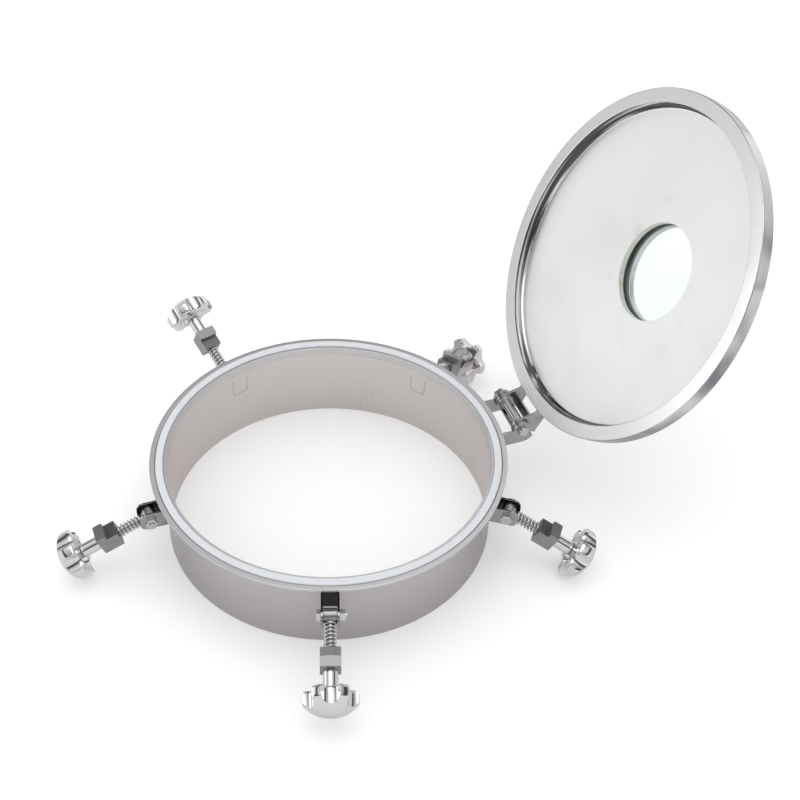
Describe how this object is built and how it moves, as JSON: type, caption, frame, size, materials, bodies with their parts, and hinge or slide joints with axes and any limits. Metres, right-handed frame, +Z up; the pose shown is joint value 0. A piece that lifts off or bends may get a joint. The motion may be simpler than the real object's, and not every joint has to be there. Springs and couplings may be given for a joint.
{
  "type": "tank manway cover",
  "caption": "Round hinged tank manway cover on a weld-in neck, with an off-centre sight glass in the lid and sprung swing-bolt clamps with lobed hand knobs.",
  "frame": {"origin": "centre of the neck's bottom weld face", "axes": "+Z up out of the tank along the neck's bore, +Y towards the lid's hinge, +X along the hinge pin"},
  "size_m": [0.4924, 0.6383, 0.3773],
  "materials": {
    "stainless": "bright polished",
    "cast_steel": "satin cast",
    "knob_steel": "mirror polished",
    "fastener_steel": "bright",
    "silicone": "matte",
    "seal": "matte",
    "glass": "clear"
  },
  "bodies": {
    "neck": {"neck_tube": "stainless", "rim_flange": "stainless", "rim_gasket": "silicone", "hinge_neck_bracket": "stainless", "hinge_pin": "fastener_steel", "hinge_nut": "fastener_steel", "hinge_washers": "fastener_steel", "clevis_1": "stainless", "pivot_bolt_1": "fastener_steel", "pivot_nut_1": "fastener_steel", "clevis_2": "stainless", "pivot_bolt_2": "fastener_steel", "pivot_nut_2": "fastener_steel", "clevis_3": "stainless", "pivot_bolt_3": "fastener_steel", "pivot_nut_3": "fastener_steel", "clevis_4": "stainless", "pivot_bolt_4": "fastener_steel", "pivot_nut_4": "fastener_steel", "clevis_5": "stainless", "pivot_bolt_5": "fastener_steel", "pivot_nut_5": "fastener_steel"},
    "lid": {"lid_plate": "stainless", "lid_rim": "stainless", "hinge_lid_bracket": "stainless", "lift_handle": "stainless", "sight_frame": "stainless", "sight_seal_inner": "seal", "sight_glass": "glass", "sight_seal_outer": "seal", "sight_cover_ring": "stainless", "sight_screws": "fastener_steel"},
    "swing_bolt_1": {"eye_bolt_1": "fastener_steel", "spring_1": "fastener_steel"},
    "claw_1": {"claw_1": "cast_steel"},
    "knob_1": {"knob_sleeve_1": "knob_steel", "knob_1": "knob_steel"},
    "swing_bolt_2": {"eye_bolt_2": "fastener_steel", "spring_2": "fastener_steel"},
    "claw_2": {"claw_2": "cast_steel"},
    "knob_2": {"knob_sleeve_2": "knob_steel", "knob_2": "knob_steel"},
    "swing_bolt_3": {"eye_bolt_3": "fastener_steel", "spring_3": "fastener_steel"},
    "claw_3": {"claw_3": "cast_steel"},
    "knob_3": {"knob_sleeve_3": "knob_steel", "knob_3": "knob_steel"},
    "swing_bolt_4": {"eye_bolt_4": "fastener_steel", "spring_4": "fastener_steel"},
    "claw_4": {"claw_4": "cast_steel"},
    "knob_4": {"knob_sleeve_4": "knob_steel", "knob_4": "knob_steel"},
    "swing_bolt_5": {"eye_bolt_5": "fastener_steel", "spring_5": "fastener_steel"},
    "claw_5": {"claw_5": "cast_steel"},
    "knob_5": {"knob_sleeve_5": "knob_steel", "knob_5": "knob_steel"}
  },
  "joints": [
    {"name": "lid_hinge", "type": "hinge", "parent": "neck", "child": "lid", "pos_m": [0, 0.1845, 0.078], "axis": [-1, 0, 0], "range_deg": [-119.6, 0]},
    {"name": "swing_1", "type": "hinge", "parent": "neck", "child": "swing_bolt_1", "pos_m": [0.16358, -0.05315, 0.0575], "axis": [0.309, 0.9511, 0], "range_deg": [-106, 11.5]},
    {"name": "claw_slide_1", "type": "slide", "parent": "swing_bolt_1", "child": "claw_1", "axis": [0.9142, -0.297, -0.2756], "range_m": [-0.0016, 0.006], "deforming": ["spring_1"]},
    {"name": "knob_spin_1", "type": "hinge", "parent": "claw_1", "child": "knob_1", "pos_m": [0.16358, -0.05315, 0.0575], "axis": [0.9142, -0.297, -0.2756], "range_deg": [-460, 1727]},
    {"name": "swing_2", "type": "hinge", "parent": "neck", "child": "swing_bolt_2", "pos_m": [0.1011, 0.13915, 0.0575], "axis": [-0.809, 0.5878, 0], "range_deg": [-116.5, 1]},
    {"name": "claw_slide_2", "type": "slide", "parent": "swing_bolt_2", "child": "claw_2", "axis": [0.526, 0.724, -0.4462], "range_m": [-0.0016, 0.006], "deforming": ["spring_2"]},
    {"name": "knob_spin_2", "type": "hinge", "parent": "claw_2", "child": "knob_2", "pos_m": [0.1011, 0.13915, 0.0575], "axis": [0.526, 0.724, -0.4462], "range_deg": [-460, 1727]},
    {"name": "swing_3", "type": "hinge", "parent": "neck", "child": "swing_bolt_3", "pos_m": [-0.1011, 0.13915, 0.0575], "axis": [-0.809, -0.5878, 0], "range_deg": [-115, 2.5]},
    {"name": "claw_slide_3", "type": "slide", "parent": "swing_bolt_3", "child": "claw_3", "axis": [-0.5327, 0.7332, -0.4226], "range_m": [-0.0016, 0.006], "deforming": ["spring_3"]},
    {"name": "knob_spin_3", "type": "hinge", "parent": "claw_3", "child": "knob_3", "pos_m": [-0.1011, 0.13915, 0.0575], "axis": [-0.5327, 0.7332, -0.4226], "range_deg": [-460, 1727]},
    {"name": "swing_4", "type": "hinge", "parent": "neck", "child": "swing_bolt_4", "pos_m": [-0.16358, -0.05315, 0.0575], "axis": [0.309, -0.9511, 0], "range_deg": [-62.4, 55.1]},
    {"name": "claw_slide_4", "type": "slide", "parent": "swing_bolt_4", "child": "claw_4", "axis": [-0.8428, -0.2739, 0.4633], "range_m": [-0.0016, 0.006], "deforming": ["spring_4"]},
    {"name": "knob_spin_4", "type": "hinge", "parent": "claw_4", "child": "knob_4", "pos_m": [-0.16358, -0.05315, 0.0575], "axis": [-0.8428, -0.2739, 0.4633], "range_deg": [-460, 1727]},
    {"name": "swing_5", "type": "hinge", "parent": "neck", "child": "swing_bolt_5", "pos_m": [0, -0.172, 0.0575], "axis": [1, 0, 0], "range_deg": [-112, 5.5]},
    {"name": "claw_slide_5", "type": "slide", "parent": "swing_bolt_5", "child": "claw_5", "axis": [0, -0.9272, -0.3746], "range_m": [-0.0016, 0.006], "deforming": ["spring_5"]},
    {"name": "knob_spin_5", "type": "hinge", "parent": "claw_5", "child": "knob_5", "pos_m": [0, -0.172, 0.0575], "axis": [0, -0.9272, -0.3746], "range_deg": [-460, 1727]}
  ],
  "couplings": [
    {"joint": "claw_slide_1", "follows": "knob_spin_1", "m_per_rad": 0.00019894},
    {"joint": "claw_slide_2", "follows": "knob_spin_2", "m_per_rad": 0.00019894},
    {"joint": "claw_slide_3", "follows": "knob_spin_3", "m_per_rad": 0.00019894},
    {"joint": "claw_slide_4", "follows": "knob_spin_4", "m_per_rad": 0.00019894},
    {"joint": "claw_slide_5", "follows": "knob_spin_5", "m_per_rad": 0.00019894}
  ]
}
